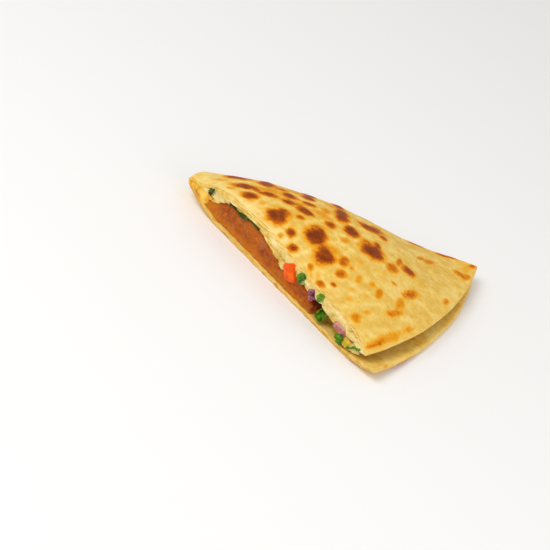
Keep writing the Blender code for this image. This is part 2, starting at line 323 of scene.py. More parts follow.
class Paint:
    # one material: its shine, how much light goes in, how many millimetres deep, and its coat
    def __init__(self, name, shine, light=0, depth=1.0, coat=0):
        self.material = bpy.data.materials.new(name)
        self.material.use_nodes = True
        self.tree = self.material.node_tree
        self.shader = self.tree.nodes["Principled BSDF"]
        self.fill(self.shader, {
            "Specular IOR Level": shine, "Coat Weight": coat,
            "Subsurface Weight": light, "Subsurface Scale": depth * mm,
        })
        self.place = self.add("ShaderNodeTexCoord", output="Object")

    def add(self, kind, settings=None, sockets=None, output=0):
        node = self.tree.nodes.new(kind)
        for label, value in (settings or {}).items():
            setattr(node, label, value)
        self.fill(node, sockets or {})
        return Wire(self, node.outputs[output])

    def fill(self, node, sockets):
        for label, value in sockets.items():
            if isinstance(value, Wire):
                self.tree.links.new(value.socket, node.inputs[label])
            else:
                node.inputs[label].default_value = value

    def noise(self, size, detail=3.0, roughness=0.55, stretch=(1, 1, 1)):
        # noise from 0 to 1 whose features are about this many millimetres wide
        place = self.add("ShaderNodeMapping", None, {"Vector": self.place, "Scale": stretch})
        sockets = {"Vector": place, "Scale": 1000 / size, "Detail": detail, "Roughness": roughness}
        return self.add("ShaderNodeTexNoise", {"noise_dimensions": "3D"}, sockets, "Fac")

    def read(self, label):
        return self.add("ShaderNodeAttribute", {"attribute_name": label}, None, "Fac")

    def ramp(self, value, *stops):
        # each stop is a position, then the red, green and blue of a screen colour
        wire = self.add("ShaderNodeValToRGB", None, {"Fac": value}, "Color")
        elements = wire.socket.node.color_ramp.elements
        while len(elements) < len(stops):
            elements.new(0.5)
        for element, (position, *colour) in zip(elements, stops):
            element.position = position
            element.color = tint(*colour)
        return wire

    def band(self, value, low, high):
        # 0 below low, 1 above high, smooth between them
        settings = {"interpolation_type": "SMOOTHSTEP"}
        sockets = {"Value": value, "From Min": low, "From Max": high}
        return self.add("ShaderNodeMapRange", settings, sockets, "Result")

    def blend(self, colour, *layers):
        # lays colours over the first, one by one: each is a share with a wire or a screen colour
        for share, layer in layers:
            layer = layer if isinstance(layer, Wire) else tint(*layer)
            sockets = {0: share, 6: colour, 7: layer}
            colour = self.add("ShaderNodeMix", {"data_type": "RGBA"}, sockets, 2)
        return colour

    def finish(self, colour, roughness, relief=(), depth=0.1):
        # relief is a list of (height wire, strength); each Bump node feeds the next
        normal = {}
        for height, strength in relief:
            sockets = {"Height": height, "Strength": strength, "Distance": depth * mm, **normal}
            normal = {"Normal": self.add("ShaderNodeBump", None, sockets, "Normal")}
        self.fill(self.shader, {"Base Color": colour, "Roughness": roughness, **normal})
        return self.material


# The tortilla: one sheet from its lower rim round the nose to its upper rim

sheet = {
    "lowerRadius": (125.2, 119.6, 121.4),
    "upperRadius": (119.2, 117.4, 121.9),
    "thickness": 1.9,
    "noseRadius": 2.2,
    "noseHeight": (7.4, 6.3),
    "noseBulge": 0.8,
    "noseAngles": (math.radians(-69), math.radians(84)),
    "noseCurl": 23.0,
    "upperSetback": 0.5,
    "setbackFrom": (2, 20),
    "clearance": (1.1, 1.15),
    "liftStart": 106.0,
    "lift": (3.8, 1.8),
    "frontCrest": (
        (2, 9.6), (7, 10.2), (13, 12.8), (26, 16.5), (39, 17.4),
        (52, 17.6), (66, 16.3), (80, 14.5), (92, 14.5), (112, 11.5), (119.2, 8.2),
    ),
    "backCrest": (
        (2, 8.5), (15, 10.9), (30, 13.0), (44, 13.3), (58, 13.0), (77, 10.2), (97, 7.4), (121.6, 7.0),
    ),
    "dome": (
        (2, 0.8), (12, 1.6), (25, 2.8), (40, 4.4), (60, 6.2), (78, 6.6), (95, 4.6), (108, 1.8), (120, -0.6),
    ),
    "shares": (26 / 64, 34 / 64),
    "counts": (250, 140, 5),
    "blisterHeight": 0.32,
    "undulation": 0.34,
    "ragged": 0.2,
    "rimRounding": 0.8,
}

# Toasted spots of the upper face as the photograph shows them, in its pixels:
# middle across and down, width, height, degrees that the width turns down to the right, darkness
toasted = (
    (277, 217, 22, 14, 8, 1.0), (316, 236, 19, 18, 0, 1.0), (325, 255, 22, 17, 12, 1.0),
    (372, 251.5, 26, 11, 38, 1.0), (341.5, 216, 16, 9, 40, 0.95), (352, 232, 14, 8, 35, 0.95),
    (291, 233, 10, 10, 20, 0.9), (293, 248, 12, 8, 10, 0.8), (250, 196, 17, 7, 12, 0.85),
    (288, 202, 12, 5, 15, 0.9), (304.5, 211, 17, 6, 25, 0.85), (301, 218, 9, 5, 10, 0.6),
    (241, 178, 26, 3.4, 7, 0.85), (246, 186.5, 29, 5, 8, 0.9), (267, 184.5, 17, 3.5, 14, 0.85),
    (268, 194.5, 21, 4, 14, 0.75), (338, 206.5, 12, 3, 24, 0.8), (309, 196, 13, 2.5, 18, 0.8),
    (316, 227, 14, 4, 10, 0.55), (256, 189.5, 12, 4, 16, 0.7), (326, 211, 11, 5, 25, 0.22),
    (300, 206, 9, 3, 22, 0.45), (281, 189.5, 14, 3, 16, 0.5), (290, 196, 16, 4, 20, 0.85),
    (308.6, 198, 14, 3.4, 20, 0.9), (309.6, 204, 12, 3, 22, 0.7), (331, 225, 11, 5, 30, 0.75),
    (371, 229.5, 24, 5, 27, 0.85), (377, 246, 9, 5, 35, 0.7), (383, 239, 9, 4, 30, 0.7),
    (306.7, 212, 7, 3, 20, 0.6), (280.5, 236, 9, 7, 0, 0.26), (391, 268, 13, 8, 30, 0.44),
    (399, 262, 5, 8, 20, 0.55), (408.5, 272.4, 17, 6, 40, 0.8), (420.5, 258, 7, 3, 10, 0.35),
    (344, 262, 9, 9, 0, 0.5), (341, 274, 11, 8, 20, 0.5), (333.5, 284.4, 7, 4, 35, 0.7),
    (359, 279, 8, 11, 30, 0.2), (379, 294, 7, 9, 10, 0.34), (410, 294.5, 16, 8, 5, 0.48),
    (399, 304.5, 9, 14, 10, 0.34), (395, 313, 18, 7, -5, 0.36), (367, 312.6, 8, 6, 0, 0.2),
    (356, 319, 12, 8, 35, 0.32), (388, 339, 50, 12, -20, 0.2), (377, 344.5, 26, 5, -22, 0.43),
    (408, 331, 13, 6, -10, 0.22), (446, 302.5, 9, 7, 20, 0.28), (460, 275, 16, 4, 32, 0.42),
    (466, 278, 10, 6, -10, 0.3), (473, 267, 9, 5, 0, 0.42), (414, 243, 18, 3, 24, 0.7),
    (448.6, 257, 22, 3, 16, 0.7), (310.6, 268, 6, 8, 0, 0.45), (320, 283.5, 9, 6, 25, 0.5),
    (394, 284, 8, 3, 35, 0.35), (345, 240, 10, 6, 20, 0.22), (222, 179, 13, 3, 8, 0.14),
    (230, 188, 11, 3, 8, 0.22), (262, 203, 10, 5, 10, 0.16), (352, 268, 6, 5, 0, 0.3),
    (430, 262, 10, 4, 20, 0.3), (372, 285, 8, 6, 30, 0.22), (262, 181, 40, 4, 12, 0.16),
    (300, 194, 38, 4, 20, 0.16), (332, 207, 28, 4, 27, 0.16), (270, 191, 38, 6, 12, 0.2),
    (296, 204, 40, 7, 22, 0.2), (322, 214, 32, 7, 28, 0.18), (318, 275, 12, 8, 40, 0.12),
    (360, 262, 14, 5, 35, 0.14), (385, 275, 14, 5, 35, 0.12), (466, 269, 26, 12, 18, 0.13),
    (349, 300, 10, 6, 30, 0.13), (366, 296, 8, 5, 20, 0.1), (311, 275, 8, 5, 60, 0.16),
    (420, 286, 10, 5, 25, 0.1), (352, 290, 8, 5, 30, 0.12),
)

# Scattered spots of the hidden faces: how many, their radius in millimetres and darkness
scattered = {
    "undersideSpots": 60,
    "upperBackSpots": 34,
    "innerSpots": 26,
    "innerDarkness": 0.4,
    "reach": 122,
    "radius": (1.6, 5.2),
    "darkness": (0.4, 1.0),
}


def upperSetback(x):
    return sheet["upperSetback"] * smooth(*sheet["setbackFrom"], x)


def upperHeight(distance, across):
    atFront, atBack = (through(sheet[crest], distance) for crest in ("frontCrest", "backCrest"))
    edges = mix(atFront, atBack, (1 + across) / 2)
    return edges + through(sheet["dome"], distance) * (1 - across**2)


def noseHeight(across):
    return mix(*sheet["noseHeight"], (1 + across) / 2) + sheet["noseBulge"] * (1 - across**2)


def lowerHeight(distance, across):
    # the underside curls up to the nose, lies flat, and lifts at the corners
    startAngle = sheet["noseAngles"][0]
    start = sheet["noseRadius"] * (1 - math.cos(startAngle))
    rise = noseHeight(across) + sheet["noseRadius"] * math.sin(startAngle)
    curl = np.clip((1 - distance / sheet["noseCurl"]) / (1 - start / sheet["noseCurl"]), 0, None) ** 1.5
    toRim = (distance - sheet["liftStart"]) / (rim(sheet["lowerRadius"], across) - sheet["liftStart"])
    lift = sheet["lift"][0] * ((1 - across) / 2) ** 5 + sheet["lift"][1] * ((1 + across) / 2) ** 5
    return rise * curl + lift * np.clip(toRim, 0, 1) ** 1.6


def underUpper(x, y):
    # height that the filling stays under, a little more than one thickness below the upper face
    across = np.clip(y / (halfWidth(x) - upperSetback(x)), -1, 1)
    distance = distanceOf(x, across, sheet["upperRadius"])
    return upperHeight(distance, across) - sheet["clearance"][1] * sheet["thickness"]


def overLower(x, y):
    across = np.clip(y / halfWidth(x), -1, 1)
    distance = distanceOf(x, across, sheet["lowerRadius"])
    return lowerHeight(distance, across) + sheet["clearance"][0] * sheet["thickness"]


def sheetPoint(u, v):
    # outer face: u runs from the lower rim round the nose to the upper rim, v from front cut to back cut
    across = 2 * v - 1
    lowerShare, upperShare = sheet["shares"]
    startAngle, endAngle = sheet["noseAngles"]
    nose = sheet["noseRadius"]
    lower = mix(rim(sheet["lowerRadius"], across), nose * (1 - math.cos(startAngle)),
                np.clip(u / lowerShare, 0, 1))
    xLower = spreadOut(lower, across, sheet["lowerRadius"])
    angle = mix(startAngle, endAngle, np.clip((u - lowerShare) / (upperShare - lowerShare), 0, 1))
    xNose = nose * (1 - np.cos(angle))
    zNose = noseHeight(across) + nose * np.sin(angle)
    upper = mix(nose * (1 - math.cos(endAngle)), rim(sheet["upperRadius"], across),
                np.clip((u - upperShare) / (1 - upperShare), 0, 1))
    xUpper = spreadOut(upper, across, sheet["upperRadius"])
    onLower, onUpper = u < lowerShare, u > upperShare
    x = np.select([onLower, onUpper], [xLower, xUpper], xNose)
    z = np.select([onLower, onUpper], [lowerHeight(lower, across), upperHeight(upper, across)], zNose)
    width = halfWidth(x) - np.where(onUpper, upperSetback(x), 0)
    return np.stack([x, across * width, z], axis=-1)


def sheetNormal(u, v):
    # outward direction of the outer face, from its slopes; at the cuts it stays in the cut's plane
    step = 0.002
    alongSheet = sheetPoint(np.clip(u + step, 0, 1), v) - sheetPoint(np.clip(u - step, 0, 1), v)
    acrossSheet = sheetPoint(u, np.clip(v + step, 0, 1)) - sheetPoint(u, np.clip(v - step, 0, 1))
    normal = unit(np.cross(alongSheet, acrossSheet))
    side = 2 * v - 1
    cut = np.stack([np.full_like(v, -sinHalf), np.sign(side) * cosHalf, np.zeros_like(v)], axis=-1)
    near = np.abs(side) ** 12
    normal -= cut * (np.sum(normal * cut, axis=-1) * near)[:, None]
    return unit(normal)


def spotField(across, down, width, height, turn, darkness, ragged):
    # 1 at the middle of an elliptical spot, about half at its outline, then a weak halo; the paler a
    # spot is, the softer its outline
    c, s = math.cos(math.radians(turn)), math.sin(math.radians(turn))
    radius = np.hypot((across * c + down * s) / (width / 2), (down * c - across * s) / (height / 2))
    soft = 0.35 * (1 - darkness)
    core = 1 - smooth(0.42 - soft, 1.22 + soft, radius + ragged)
    halo = 1 - smooth(0.6, 2.1, radius + 0.9 * ragged)
    return darkness * (0.78 * core + 0.22 * halo)


def raggedEdge(points):
    # how much a spot's outline wanders, in shares of its radius: longer along the wedge than across
    drawnOut = points * np.array([0.6, 1.0, 1.0])
    return 0.3 * grain(drawnOut, 3.6, 3) + 0.26 * grain(drawnOut, 1.7, 4) + 0.1 * grain(points, 0.8, 5)


def photographedSpots(points):
    across, down = toPicture(points)
    ragged = raggedEdge(points)
    field = np.zeros(len(points))
    for middleAcross, middleDown, width, height, turn, darkness in toasted:
        spot = spotField(across - middleAcross, down - middleDown, width, height, turn, darkness, ragged)
        field = np.maximum(field, spot)
    return field


def scatteredSpots(points, count, seed):
    # long and round spots of random size and darkness, spread over the plan
    rng = np.random.default_rng(wedge["seed"] + seed)
    ragged = raggedEdge(points)
    field = np.zeros(len(points))
    for _ in range(count):
        x = scattered["reach"] * math.sqrt(rng.uniform(0.004, 1))
        y = rng.uniform(-1, 1) * halfWidth(x)
        size = rng.uniform(*scattered["radius"]) * (0.6 + 0.4 * rng.uniform())
        longer = rng.uniform(1, 1.7)
        darkness = rng.uniform(*scattered["darkness"])
        spot = spotField(points[:, 0] - x, points[:, 1] - y, 2 * size * longer, 2 * size,
                         rng.uniform(0, 180), darkness, ragged)
        field = np.maximum(field, spot)
    return field


def tortillaPaint():
    # toasted flour tortilla: cream and straw, orange halos round brown spots, creamy crumb at its cuts; a
    # painted highlight along the front edge, painted shade in a crack of the upper cut
    paint = Paint("toastedTortilla", shine=0.1, light=0.04)
    toast = paint.read("toast")
    nose = 1 - paint.band(paint.read("distance"), 8.0, 62.0)
    far = paint.band(paint.read("distance"), 62, 92)
    fine = paint.noise(0.8, 5, 0.7)
    blotches = paint.noise(1.6, 3, 0.6)
    middling = paint.noise(4.0, 4, 0.62)
    coarse = paint.noise(12, 4, 0.6)
    streaks = paint.noise(2.0, 3, 0.6, (0.4, 1, 1))
    lines = paint.noise(1.3, 3, 0.6, (0.22, 1, 1))
    unevenness = (fine - 0.5) * 0.35 + (streaks - 0.5) * 0.3 + (lines - 0.5) * 0.15 + (blotches - 0.5) * 0.5
    level = toast * (middling * 0.9 + 0.46) + unevenness * paint.band(toast, 0.02, 0.4)
    straw = paint.ramp(
        coarse * 0.35 + middling * 0.65,
        (0.39, 253, 226, 140), (0.47, 244, 206, 104), (0.54, 232, 188, 80),
        (0.62, 224, 174, 62), (0.72, 214, 160, 46),
    )
    gold = paint.band(paint.noise(4.5, 3, 0.6, (0.6, 1, 1)), 0.5, 0.72) * 0.3
    flecks = paint.band(paint.noise(3.4, 3, 0.6, (0.5, 1.1, 1)), 0.59, 0.70) * (0.5 - nose * 0.2)
    flour = paint.band(paint.noise(5.0, 4, 0.62, (0.7, 1, 1)), 0.50, 0.70) * (0.4 + nose * 0.2)
    pale = paint.blend(
        straw,
        # paler cream near the front edge of the upper face: partly the skin's own unbrowned colour, partly
        # a painted highlight
        (paint.read("cream") * 0.7, (254, 232, 158)),
        (nose * 0.5, (253, 218, 122)),
        (nose * paint.band(coarse, 0.48, 0.62) * 0.4, (244, 184, 64)),
        (gold, (234, 168, 42)),
        (flecks, (214, 138, 24)),
        (flour, (253, 232, 158)),
        (far * 0.4, (233, 190, 90)),
    )
    browned = paint.ramp(
        level,
        (0.03, 244, 192, 76), (0.13, 238, 166, 34), (0.27, 224, 134, 4),
        (0.44, 196, 102, 0), (0.64, 168, 78, 0), (0.95, 128, 53, 0),
    )
    skin = paint.blend(pale, (paint.band(level, 0.0, 0.14), browned))
    inner = paint.ramp(
        coarse * 0.4 + middling * 0.6, (0.36, 252, 224, 136), (0.50, 242, 200, 90), (0.64, 226, 174, 60),
    )
    inner = paint.blend(inner, (paint.band(level, 0.1, 0.4), browned))
    shelf = paint.noise(2.0, 4, 0.62, (0.6, 0.6, 4))
    crumb = paint.ramp(shelf, (0.32, 214, 158, 58), (0.46, 242, 202, 102), (0.66, 254, 230, 158))
    seared = paint.ramp(shelf, (0.34, 168, 100, 22), (0.5, 200, 140, 44), (0.66, 226, 176, 84))
    golden = paint.ramp(middling, (0.38, 226, 158, 32), (0.60, 250, 204, 84))
    # a dark line across the upper sheet's front cut, 60 to 84 mm from the nose: painted shade in a crack of
    # its crumb
    split = paint.read("depth") + (paint.noise(5, 2, 0.5) - 0.5) * 0.9
    crackShade = paint.band(split, 0.30, 0.36) * (1 - paint.band(split, 0.40, 0.46)) * paint.read("split")
    crumb = paint.blend(
        crumb, (paint.read("seared"), seared), (paint.read("golden"), golden), (crackShade * 0.5, (140, 84, 20)),
    )
    colour = paint.blend(skin, (paint.read("inner"), inner), (paint.read("crumb"), crumb))
    roughness = 0.5 + 0.2 * fine - 0.08 * paint.band(level, 0.3, 0.8)
    relief = ((paint.noise(0.5, 4, 0.6), 0.35), (middling * (1 - far * 0.4), 0.8), (streaks, 0.2))
    return paint.finish(colour, roughness, relief, 0.7)


def makeTortilla():
    grid, quads, sides = boxSurface(sheet["counts"])
    u, v, w = grid.T
    outer = sheetPoint(u, v)
    normal = sheetNormal(u, v)
    across = 2 * v - 1
    side = np.where(across < 0, front, back)
    onUpper = smooth(sheet["shares"][1] - 0.02, sheet["shares"][1] + 0.02, u)
    backward = cameraAxes()[2]
    facing = smooth(-0.04, 0.05, normal @ backward)
    seenSpots = photographedSpots(outer) * facing
    hiddenSpots = scatteredSpots(outer, scattered["upperBackSpots"], 11) * (1 - facing)
    underSpots = scatteredSpots(outer, scattered["undersideSpots"], 12)
    innerSpots = scattered["innerDarkness"] * scatteredSpots(outer, scattered["innerSpots"], 13)
    toast = mix(underSpots, np.maximum(seenSpots, hiddenSpots), onUpper)
    outerness = 1 - smooth(0.0, 0.35, w)
    toast = mix(innerSpots, toast, 1 - smooth(0.3, 0.7, w))

    wave = grain(outer, 13, 21) + 0.5 * grain(outer, 6, 22)
    awayFromTable = smooth(0.2, 3.5, outer[:, 2])
    lift = sheet["undulation"] * wave * awayFromTable * (1 - 0.5 * (1 - onUpper))
    lift = lift + sheet["blisterHeight"] * outerness * toast * onUpper
    thick = sheet["thickness"] * (1 + 0.10 * grain(outer, 7, 23))
    points = outer + normal * (lift - thick * w)[:, None]

    # the natural rims are rounded and a little wavy; the cuts are a little ragged
    toRim = np.minimum(u, 1 - u)
    nearRim = 1 - smooth(0, 0.02, toRim)
    outward = unit(points[:, :2])
    rounding = sheet["rimRounding"] * (1 - halfRound(w))
    wavy = (0.25 * grain(outer, 14, 24) + 0.1 * grain(outer, 4, 25)) * (1 - np.abs(across) ** 6)
    points[:, :2] += outward * (nearRim * (wavy - rounding))[:, None]
    nearCut = smooth(0.985, 1, np.abs(across))
    cutOut = np.stack([-sinHalf * np.ones_like(v), side * cosHalf], axis=1)
    tear = sheet["ragged"] * (grain(points, 2.2, 26) + 0.7 * grain(points, 0.9, 27)) - 0.15
    points[:, :2] += cutOut * (nearCut * (tear + 0.12 * halfRound(w)))[:, None]
    points[:, 2] = np.maximum(points[:, 2], 0)

    faceU = u[quads].mean(axis=1)
    faceW = w[quads].mean(axis=1)
    faceX = points[quads, 0].mean(axis=1)
    onCut = (sides == 2) | (sides == 3)
    onRim = (sides == 0) | (sides == 1)
    seared = np.where(faceU < sheet["shares"][0], 0.7 - 0.5 * faceW, 0.25 * (faceW < 0.25))
    faceValues = {
        "crumb": onCut + 0.35 * onRim,
        "inner": (sides == 5) * 1.0,
        "seared": seared * onCut,
        "golden": onCut * (1 - smooth(7, 15, faceX)) * smooth(0.25, 0.6, faceW),
    }
    # where the painted shade of a crack runs across the upper sheet's front cut
    split = smooth(60, 84, outer[:, 0]) * (across < 0) * onUpper
    # paler cream near the upper face's front cut, from 8 to 75 mm: the skin's own colour there with a
    # painted highlight
    cream = smooth(0.62, 0.9, -across) * smooth(8, 20, outer[:, 0]) * (1 - smooth(45, 75, outer[:, 0]))
    values = {"toast": toast, "distance": outer[:, 0], "depth": w, "split": split, "cream": cream * onUpper}
    makePiece("tortillaSheet", points, quads, tortillaPaint(), "tortilla", values, faceValues)
    print("tortilla made:", len(quads), "faces")


makeTortilla()


# The layers between the halves

filling = {
    "pattySpan": (12.5, 88.5),
    "pattyRetreat": 4.0,
    "eggSpan": (16.0, 83.5),
    "cheeseSpan": (9.5, 108.0),
    "cheeseThickness": 3.3,
    "cheeseSag": 5.0,
    "sagFrom": (88, 94),
    "sagBehind": (2, 5),
    "eggShare": 0.56,
    "setback": 0.55,
    "pattyFront": (
        (12, 6.6), (18, 7.4), (25.5, 12.4), (32, 13.4), (47, 13.9),
        (57, 10.4), (67, 8.2), (77, 10.4), (87, 5.0),
    ),
    "pattyMiddle": ((12, 6.6), (22, 9.6), (40, 11.8), (62, 12.2), (80, 10.6), (90, 5.4)),
    "pattyBack": ((12, 6.2), (25, 8.4), (52, 8.2), (74, 6.2), (86, 4.4)),
    "pattyCounts": (230, 60, 20),
    "eggCounts": (230, 50, 12),
    "cheeseCounts": (280, 60, 12),
}


def pattyTop(x, y):
    across = np.clip(y / halfWidth(x), -1, 1)
    distance = distanceOf(x, across, sheet["lowerRadius"])
    profiles = ("pattyFront", "pattyMiddle", "pattyBack")
    atFront, middle, atBack = (through(filling[profile], distance) for profile in profiles)
    raw = np.where(across < 0, mix(middle, atFront, across**2), mix(middle, atBack, across**2))
    room = mix(0.9, 3.2, smooth(1.5, 6.0, behindCut(x, y)))
    return np.minimum(raw, underUpper(x, y) - room)


def layerPlan(u, v, span, setback):
    across = 2 * v - 1
    distance = mix(*span, u)
    x = spreadOut(distance, across, sheet["lowerRadius"])
    return x, across * (halfWidth(x) - setback / cosHalf), distance


def roundedEnd(u, amount):
    return np.sqrt(1 - (1 - smooth(0, amount, np.minimum(u, 1 - u))) ** 2)


def settleCuts(points, v, w, amount, size, seed, recess=0.55):
    # the cut faces of a layer bulge in the middle of their height and are uneven
    side = np.where(v < 0.5, front, back)
    nearCut = smooth(0.93, 1, np.abs(2 * v - 1))
    lumps = grain(points, size, seed) + 0.5 * grain(points, size / 2.2, seed + 1)
    shift = nearCut * (amount * lumps + 0.7 * (halfRound(w) - recess))
    points[:, 0] -= sinHalf * shift
    points[:, 1] += side * cosHalf * shift


def pattyPaint():
    # cut sausage: fine orange-brown grain with darker flecks, purplish in places, orange where fat ran, and
    # dark brown along its top as a painted shadow under the egg
    paint = Paint("sausagePatty", shine=0.16, light=0.05)
    coarse = paint.noise(7, 4, 0.6)
    middling = paint.noise(1.9, 5, 0.65)
    fine = paint.noise(0.55, 3, 0.6)
    meat = paint.ramp(
        coarse * 0.5 + middling * 0.5,
        (0.36, 138, 56, 8), (0.45, 172, 80, 8), (0.53, 188, 94, 6), (0.64, 212, 122, 20),
    )
    edge = paint.read("edge") + (middling - 0.5) * 0.3
    body = paint.blend(
        meat,
        (paint.band(paint.noise(4.2, 4, 0.7), 0.48, 0.62) * 0.5, (172, 98, 62)),
        (paint.band(paint.noise(9, 3, 0.6), 0.5, 0.66) * 0.5, (204, 114, 8)),
        (paint.band(fine, 0.54, 0.68) * 0.5, (128, 48, 10)),
        (paint.band(paint.noise(0.9, 2, 0.5), 0.62, 0.72) * 0.4, (218, 146, 76)),
        (paint.read("end") * paint.band(middling, 0.42, 0.58) * 0.7, (126, 34, 4)),
        (paint.read("start") * 0.6, (216, 130, 14)),
        ((1 - paint.band(edge, 0.05, 0.42)) * 0.75, (214, 124, 14)),
        # dark brown along the top of the cut and over the top face: painted shadow under the egg layer
        (paint.band(edge, 0.9, 1.02) * 0.75, (112, 46, 8)),
    )
    return paint.finish(body, 0.42 + fine * 0.2, ((fine, 0.7), (middling, 1.0)), 0.6)


def makePatty():
    grid, quads, _ = boxSurface(filling["pattyCounts"])
    u, v, w = grid.T
    retreat = filling["pattyRetreat"] * smooth(0.94, 1, u) ** 2
    x, y, distance = layerPlan(u, v, filling["pattySpan"], filling["setback"] + retreat)
    low = overLower(x, y)
    high = np.maximum(pattyTop(x, y) + 0.3, low + 1.2)
    z = mix(low, mix(low + 1.2, high, roundedEnd(u, 0.07)), w)
    points = np.stack([x, y, z], axis=-1)
    points[:, 2] += 0.25 * grain(points, 3.5, 31) * smooth(0.6, 1, w)
    points[:, 0] += 1.2 * grain(points, 4.0, 34) * smooth(0.97, 1, u)
    settleCuts(points, v, w, 0.34, 2.6, 32)
    crumbs = 0.22 * grain(points, 1.1, 35) + 0.12 * grain(points, 0.6, 36)
    points[:, 1] += np.where(v < 0.5, front, back) * smooth(0.95, 1, np.abs(2 * v - 1)) * crumbs
    # edge runs from the patty's foot to its top, where a painted shadow under the egg darkens it
    values = {"edge": w, "start": 1 - smooth(12, 26, distance), "end": smooth(66, 82, distance)}
    makePiece("sausagePatty", points, quads, pattyPaint(), "sausage_patty", values)


def eggPaint():
    # cooked egg: pale and deeper yellow, with olive herb stains
    paint = Paint("cookedEgg", shine=0.45, light=0.15, depth=1.5)
    coarse = paint.noise(4.5)
    middling = paint.noise(1.6, 4, 0.6)
    body = paint.ramp(
        coarse * 0.5 + middling * 0.5,
        (0.34, 214, 156, 34), (0.46, 234, 190, 70), (0.58, 246, 214, 110), (0.72, 250, 228, 146),
    )
    stain = paint.band(paint.noise(3.1, 3, 0.6), 0.54, 0.68) * 0.6
    body = paint.blend(body, (stain, (150, 136, 36)))
    relief = ((paint.noise(0.7, 3, 0.6), 0.3), (middling, 0.6))
    return paint.finish(body, 0.28 + middling * 0.2, relief, 0.35)


def makeEgg():
    grid, quads, _ = boxSurface(filling["eggCounts"])
    u, v, w = grid.T
    x, y, _ = layerPlan(u, v, filling["eggSpan"], filling["setback"])
    low = pattyTop(x, y) + 0.1
    high = mix(low, underUpper(x, y), filling["eggShare"])
    z = mix(low, mix(low + 0.4, high, roundedEnd(u, 0.06)), w)
    points = np.stack([x, y, z], axis=-1)
    points[:, 2] += 0.25 * grain(points, 3.0, 41) * (w - 0.3)
    settleCuts(points, v, w, 0.45, 3.0, 42)
    makePiece("eggLayer", points, quads, eggPaint(), "egg_layer")


def cheesePaint():
    # melted cheese: glossy cream that lets light through, stained by herbs, golden where it browned
    paint = Paint("meltedCheese", shine=0.3, light=0.25, depth=2.0)
    coarse = paint.noise(5, 3, 0.5)
    middling = paint.noise(1.8)
    cream = paint.ramp(
        coarse * 0.75 + middling * 0.25,
        (0.36, 212, 168, 66), (0.45, 224, 190, 102), (0.54, 234, 208, 136), (0.64, 248, 232, 182),
    )
    herbs = paint.band(paint.noise(3.4, 3, 0.6), 0.54, 0.68) * 0.45
    gold = paint.ramp(coarse, (0.38, 206, 126, 4), (0.50, 236, 174, 44), (0.62, 250, 206, 88))
    body = paint.blend(cream, (herbs, (176, 160, 54)), (paint.read("gold"), gold))
    return paint.finish(body, 0.22 + middling * 0.18, ((middling, 0.4), (coarse, 0.4)), 0.3)


def makeCheese():
    grid, quads, _ = boxSurface(filling["cheeseCounts"])
    u, v, w = grid.T
    x, y, distance = layerPlan(u, v, filling["cheeseSpan"], filling["setback"] - 0.2)
    high = underUpper(x, y) + 0.5
    eggLow = pattyTop(x, y) + 0.1
    overEgg = mix(eggLow, underUpper(x, y), filling["eggShare"]) + 0.05
    start, end = filling["eggSpan"]
    past = np.maximum(1 - smooth(11, start + 1.5, distance), smooth(end - 1, end + 5, distance))
    sag = smooth(*filling["sagFrom"], distance) * smooth(*filling["sagBehind"], behindCut(x, y))
    thick = filling["cheeseThickness"] + filling["cheeseSag"] * sag
    waves = 0.9 * grain(np.stack([x, y, 0 * x], -1), 4, 51)
    hanging = np.maximum(high - thick + waves, overLower(x, y))
    low = np.minimum(mix(overEgg, np.maximum(hanging, overEgg), past), high - 0.4)
    z = mix(mix(high - 0.5, low, roundedEnd(u, 0.05)), high, w)
    points = np.stack([x, y, z], axis=-1)
    settleCuts(points, v, w, 0.4, 3.4, 52, 0.3)
    return points, quads


def ballPart(middle, size, seed, lumpiness, count):
    # a lumpy ball: the skin of a box pushed out to a sphere, its radius changed by noise
    grid, quads, _ = boxSurface((count, count, count))
    ways = 2 * grid - 1
    ways = unit(np.sin(ways * math.pi / 4))
    radius = 1 + lumpiness * grain(ways * 2 + seed, 1.1, seed)
    return ways * radius[:, None] * np.array(size) / 2 + np.array(middle), quads


cheeseLumps = {
    # along, deep and height, then size along, deep and high, of lumps that swell out at the cuts
    "front": (
        (17.4, 0.8, 10.4, 5.4, 2.4, 2.4), (21.2, 0.7, 11.9, 5.0, 2.4, 2.2),
        (25.0, 0.6, 13.2, 4.0, 2.0, 1.6), (58.6, 0.9, 11.2, 5.4, 2.4, 2.8),
        (62.8, 0.9, 9.6, 4.6, 2.6, 3.6), (72.4, 1.2, 12.0, 5.0, 2.2, 1.8),
        (80.0, 1.4, 11.4, 5.4, 2.4, 2.0), (92.6, 1.1, 10.0, 9.6, 2.8, 4.4),
        (97.4, 1.1, 8.8, 8.4, 2.8, 3.8), (105.6, 1.1, 8.6, 10.4, 2.6, 3.4),
        (112.0, 1.2, 7.3, 7.4, 2.4, 2.6), (108.6, 1.8, 4.6, 7.6, 3.0, 3.4),
    ),
    "back": (
        (20.0, 0.8, 8.4, 4.4, 2.4, 2.0), (31.0, 0.8, 9.7, 5.0, 2.4, 2.1), (55.0, 0.9, 9.2, 5.4, 2.6, 2.4),
        (67.0, 0.9, 7.8, 4.8, 2.6, 2.2), (79.0, 1.0, 6.0, 5.0, 2.8, 2.4), (86.0, 1.1, 5.3, 5.4, 2.8, 2.4),
    ),
    # what ran into the fold: golden, near the nose
    "golden": (
        (5.0, 0.9, 6.8, 7.4, 2.4, 3.2), (9.6, 0.8, 6.2, 10.0, 2.4, 6.2), (13.4, 1.0, 8.4, 5.0, 2.4, 3.4),
    ),
}


